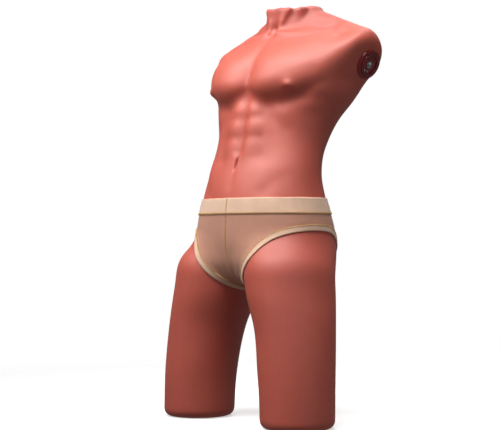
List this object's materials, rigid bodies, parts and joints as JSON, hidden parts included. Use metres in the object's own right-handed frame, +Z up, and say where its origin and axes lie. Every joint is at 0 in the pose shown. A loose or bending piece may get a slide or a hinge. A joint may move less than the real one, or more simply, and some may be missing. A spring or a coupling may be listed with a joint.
{
  "type": "torso mannequin",
  "caption": "Headless, armless male torso mannequin in plain elastic briefs, with thigh stumps to stand on, round shoulder caps, and friction joints at the waist and both hips.",
  "frame": {"origin": "on the floor, under the centre of the bounding box", "axes": "+Z up; the front faces -Y; the mannequin's left is +X"},
  "size_m": [0.469, 0.3251, 0.9],
  "materials": {
    "skin": "soft matt silicone skin",
    "foam": "open-cell foam",
    "gel": "solid soft rubber",
    "steel": "satin steel",
    "cap": "high gloss dark red plastic",
    "elastic": "ribbed cream elastic",
    "knit": "sheer nude knit"
  },
  "bodies": {
    "pelvis": {"pelvis_skin": "skin", "pelvis_core": "foam", "pelvis_bar": "steel", "lower_spine": "steel", "waist_clevis": "steel", "waist_bolt": "steel", "waist_nut": "steel", "waist_flex_band": "skin", "brief_panel": "knit", "waistband": "elastic", "crotch_gusset": "knit", "left_hip_bracket": "steel", "left_hip_bolt": "steel", "left_hip_nut": "steel", "left_hip_flex_band": "skin", "left_leg_band": "elastic", "right_hip_bracket": "steel", "right_hip_bolt": "steel", "right_hip_nut": "steel", "right_hip_flex_band": "skin", "right_leg_band": "elastic"},
    "chest": {"chest_skin": "skin", "chest_core": "foam", "shoulder_bar": "steel", "upper_spine": "steel", "neck_post": "steel", "waist_tongue": "steel", "left_shoulder_flange": "steel", "left_shoulder_cap": "cap", "left_shoulder_ring": "cap", "left_shoulder_washer": "steel", "left_shoulder_bolt": "steel", "left_shoulder_screw_1": "steel", "left_shoulder_screw_2": "steel", "right_shoulder_flange": "steel", "right_shoulder_cap": "cap", "right_shoulder_ring": "cap", "right_shoulder_washer": "steel", "right_shoulder_bolt": "steel", "right_shoulder_screw_1": "steel", "right_shoulder_screw_2": "steel"},
    "left_thigh": {"left_thigh_skin": "skin", "left_thigh_core": "gel", "left_thigh_rod": "steel", "left_thigh_end_plate": "steel"},
    "right_thigh": {"right_thigh_skin": "skin", "right_thigh_core": "gel", "right_thigh_rod": "steel", "right_thigh_end_plate": "steel"}
  },
  "joints": [
    {"name": "waist_bend", "type": "hinge", "parent": "pelvis", "child": "chest", "pos_m": [0, -0.04, 0.55], "axis": [1, 0, 0], "range_deg": [-10, 15], "deforming": ["waist_flex_band"]},
    {"name": "left_hip", "type": "hinge", "parent": "pelvis", "child": "left_thigh", "pos_m": [0.1, -0.053, 0.345], "axis": [-1, 0, 0], "range_deg": [-10, 25], "deforming": ["left_hip_flex_band"]},
    {"name": "right_hip", "type": "hinge", "parent": "pelvis", "child": "right_thigh", "pos_m": [-0.1, -0.053, 0.345], "axis": [-1, 0, 0], "range_deg": [-10, 25], "deforming": ["right_hip_flex_band"]}
  ]
}
